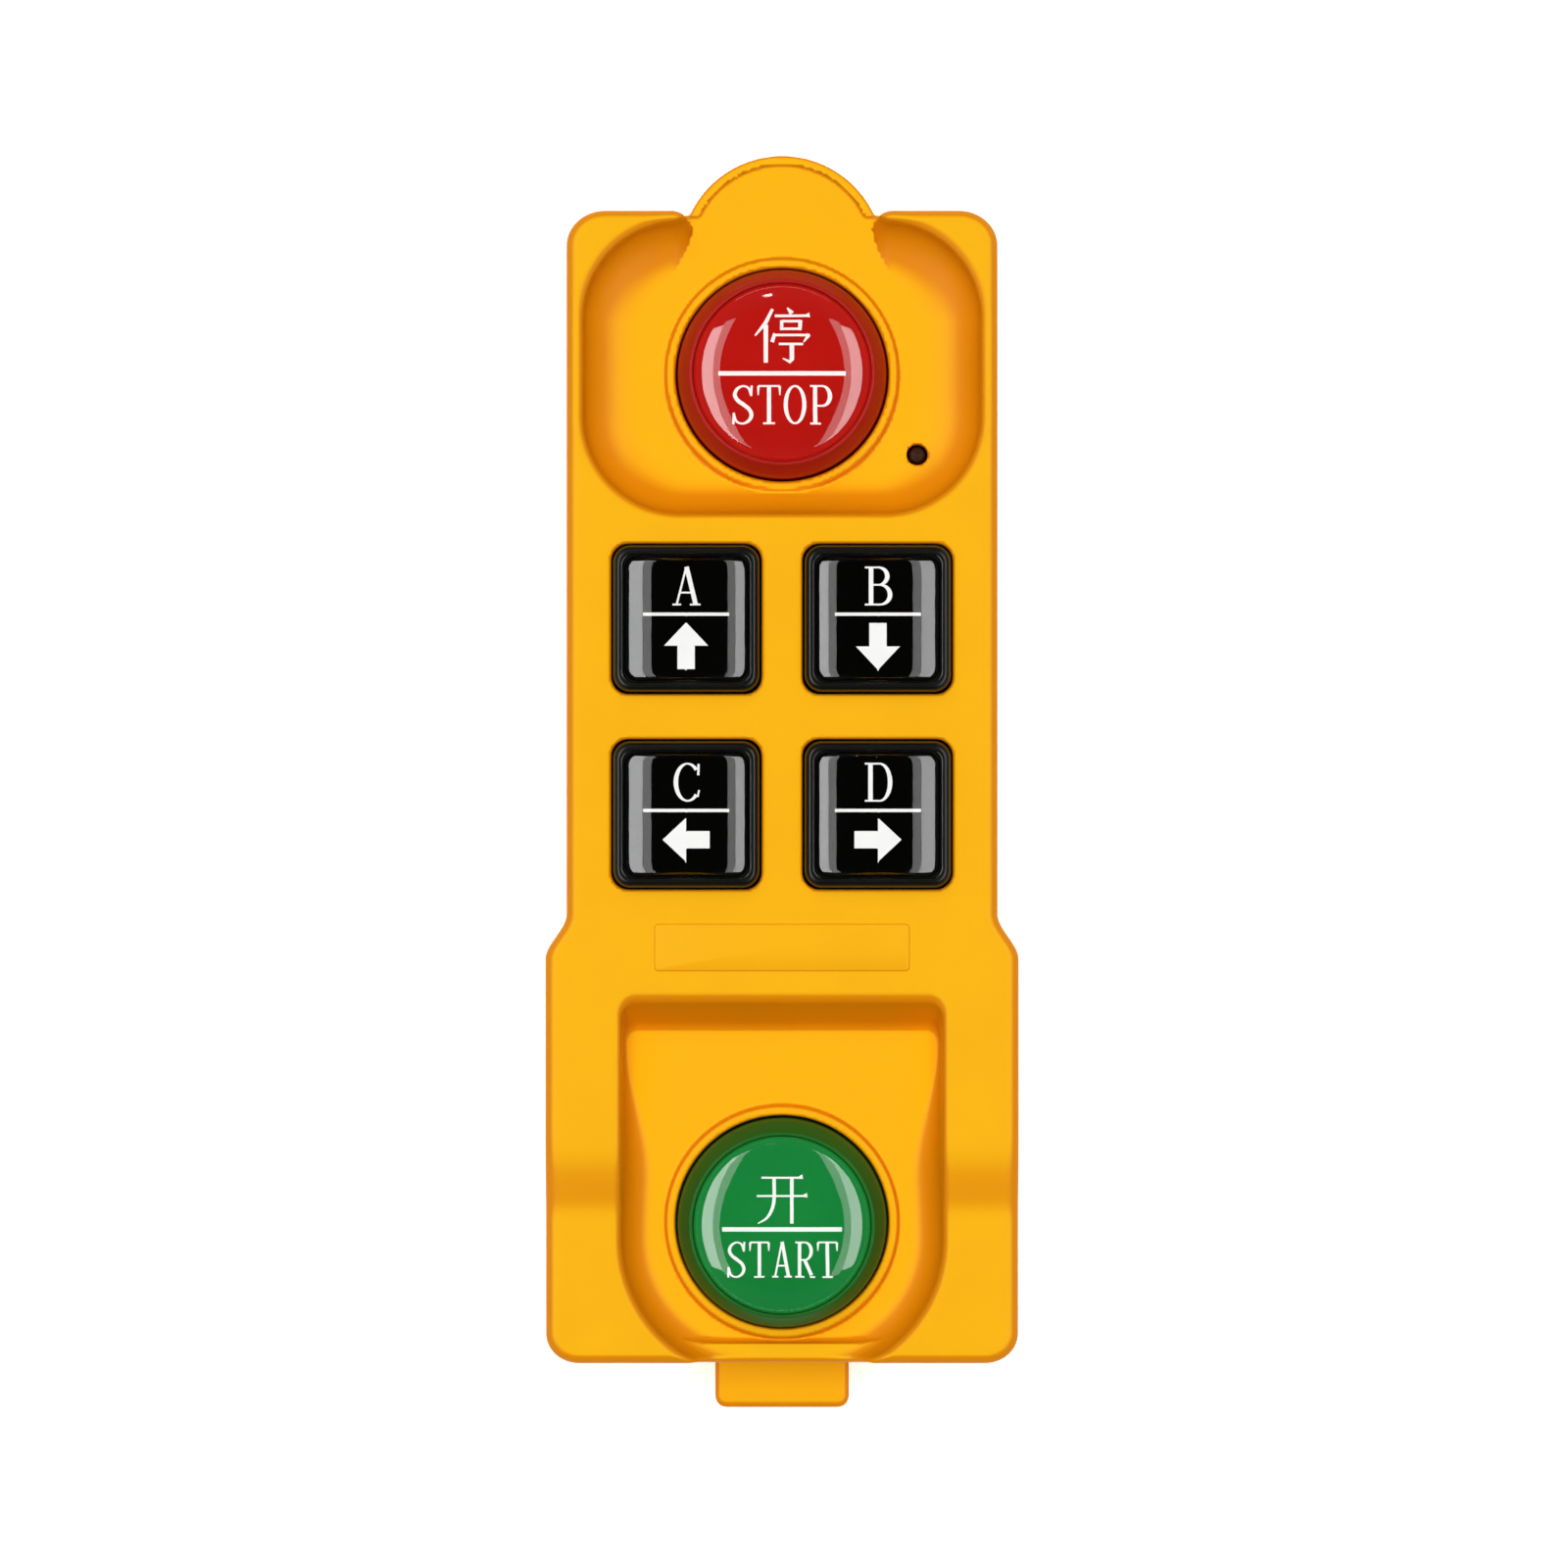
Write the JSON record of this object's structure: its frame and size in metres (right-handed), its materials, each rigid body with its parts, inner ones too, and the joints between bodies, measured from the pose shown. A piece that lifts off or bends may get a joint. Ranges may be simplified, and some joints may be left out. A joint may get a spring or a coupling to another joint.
{
  "type": "wireless pendant control station",
  "caption": "Hand-held control pendant: two-shell moulded housing with flared grip, round stop and start keys in recesses, square direction keys, battery door and strap lug.",
  "frame": {"origin": "on the flat back of the rear housing, on the centre line, between the battery door and the label panel", "axes": "+Z out of the keyed face, +Y towards the stop key and the nose, +X to the right as the face is read"},
  "size_m": [0.065, 0.175, 0.0392],
  "materials": {
    "housing_yellow": "satin moulded yellow plastic",
    "seal_rubber": "soft black rubber",
    "key_black": "polished black",
    "key_red": "polished red",
    "key_green": "polished green",
    "lens_clear": "clear polished acrylic",
    "steel": "zinc-bright steel",
    "switch_dark": "moulded black",
    "board_green": "solder-masked laminate",
    "copper_wire": "enamelled copper wire",
    "light_dark": "dark tinted plastic",
    "cell_wrap": "printed sleeve over a metal can"
  },
  "bodies": {
    "housing": {"front_housing": "housing_yellow", "rear_housing": "housing_yellow", "housing_seal": "seal_rubber", "battery_door": "housing_yellow", "battery_door_seal": "seal_rubber", "housing_screw_top_left": "steel", "housing_screw_top_right": "steel", "housing_screw_middle_left": "steel", "housing_screw_middle_right": "steel", "housing_screw_bottom_left": "steel", "housing_screw_bottom_right": "steel", "door_screw_left": "steel", "door_screw_right": "steel", "stop_key_spring": "steel", "stop_switch": "switch_dark", "start_key_spring": "steel", "start_switch": "switch_dark", "up_key_spring": "steel", "up_switch": "switch_dark", "down_key_spring": "steel", "down_switch": "switch_dark", "left_key_spring": "steel", "left_switch": "switch_dark", "right_key_spring": "steel", "right_switch": "switch_dark", "key_seal_mat": "seal_rubber", "circuit_board": "board_green", "radio_shield": "steel", "antenna_coil": "copper_wire", "status_light": "light_dark", "board_screw_upper_left": "steel", "board_screw_upper_right": "steel", "board_screw_lower_left": "steel", "board_screw_lower_right": "steel", "battery_left": "cell_wrap", "battery_right": "cell_wrap", "battery_spring_left": "steel", "battery_spring_right": "steel", "battery_bridge_contact": "steel", "battery_contact_left": "steel", "battery_contact_right": "steel"},
    "stop_key": {"stop_key_cap": "key_red", "stop_key_legend": "key_red", "stop_key_lens": "lens_clear"},
    "start_key": {"start_key_cap": "key_green", "start_key_legend": "key_green", "start_key_lens": "lens_clear"},
    "up_key": {"up_key_cap": "key_black", "up_key_legend": "key_black", "up_key_lens": "lens_clear"},
    "down_key": {"down_key_cap": "key_black", "down_key_legend": "key_black", "down_key_lens": "lens_clear"},
    "left_key": {"left_key_cap": "key_black", "left_key_legend": "key_black", "left_key_lens": "lens_clear"},
    "right_key": {"right_key_cap": "key_black", "right_key_legend": "key_black", "right_key_lens": "lens_clear"}
  },
  "joints": [
    {"name": "stop_key_press", "type": "slide", "parent": "housing", "child": "stop_key", "axis": [0, 0, -1], "range_m": [0, 0.0025], "stiffness_N_per_m": 500, "springref_m": -0.003, "deforming": ["stop_key_spring"]},
    {"name": "start_key_press", "type": "slide", "parent": "housing", "child": "start_key", "axis": [0, 0, -1], "range_m": [0, 0.0025], "stiffness_N_per_m": 500, "springref_m": -0.003, "deforming": ["start_key_spring"]},
    {"name": "up_key_press", "type": "slide", "parent": "housing", "child": "up_key", "axis": [0, 0, -1], "range_m": [0, 0.0025], "stiffness_N_per_m": 500, "springref_m": -0.003, "deforming": ["up_key_spring"]},
    {"name": "down_key_press", "type": "slide", "parent": "housing", "child": "down_key", "axis": [0, 0, -1], "range_m": [0, 0.0025], "stiffness_N_per_m": 500, "springref_m": -0.003, "deforming": ["down_key_spring"]},
    {"name": "left_key_press", "type": "slide", "parent": "housing", "child": "left_key", "axis": [0, 0, -1], "range_m": [0, 0.0025], "stiffness_N_per_m": 500, "springref_m": -0.003, "deforming": ["left_key_spring"]},
    {"name": "right_key_press", "type": "slide", "parent": "housing", "child": "right_key", "axis": [0, 0, -1], "range_m": [0, 0.0025], "stiffness_N_per_m": 500, "springref_m": -0.003, "deforming": ["right_key_spring"]}
  ]
}
